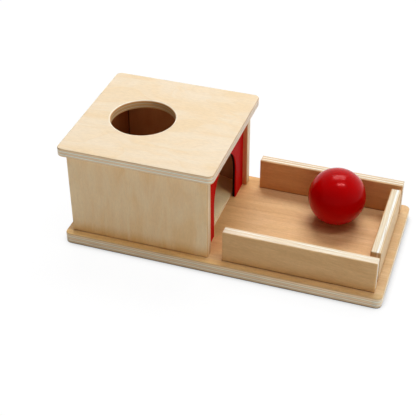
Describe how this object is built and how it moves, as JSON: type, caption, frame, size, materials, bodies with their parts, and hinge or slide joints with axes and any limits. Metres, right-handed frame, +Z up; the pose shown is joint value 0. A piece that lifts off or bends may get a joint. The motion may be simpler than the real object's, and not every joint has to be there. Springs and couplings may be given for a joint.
{
  "type": "object permanence box",
  "caption": "Wooden baby toy: a box with a round hole in its lid, a ramp inside, a red arched doorway, and an open railed tray that catches a red ball.",
  "frame": {"origin": "middle of the base board's underside", "axes": "+X along the base board towards the tray's end rail, -Y towards the box's front wall, +Z up"},
  "size_m": [0.25, 0.12, 0.088],
  "materials": {
    "base_plywood": "satin clear lacquer on warm face veneer, ply edges",
    "wall_plywood": "satin clear lacquer on birch veneer, ply edges",
    "lid_plywood": "satin clear lacquer on pale birch veneer, ply edges",
    "rail_plywood": "satin clear lacquer on birch veneer, ply edges",
    "ramp_plywood": "satin clear lacquer on birch veneer",
    "solid_birch": "plain solid birch",
    "red_panel_paint": "satin red paint on thin sheet",
    "red_ball_lacquer": "semi-gloss red paint on solid wood",
    "zinc_steel": "bright zinc plating"
  },
  "bodies": {
    "box": {"base_board": "base_plywood", "front_wall": "wall_plywood", "back_wall": "wall_plywood", "end_wall": "wall_plywood", "lid_board": "lid_plywood", "arch_panel": "red_panel_paint", "ramp_sheet": "ramp_plywood", "ramp_cleat": "solid_birch", "tray_front_rail": "rail_plywood", "tray_back_rail": "rail_plywood", "tray_end_rail": "rail_plywood", "wall_screws": "zinc_steel", "rail_screws": "zinc_steel", "lid_dowels": "solid_birch", "corner_dowels": "solid_birch"},
    "ball": {"ball": "red_ball_lacquer"}
  },
  "joints": [
    {"name": "ball_roll", "type": "slide", "parent": "box", "child": "ball", "axis": [1, 0, 0], "range_m": [-0.061, 0.0162]}
  ]
}
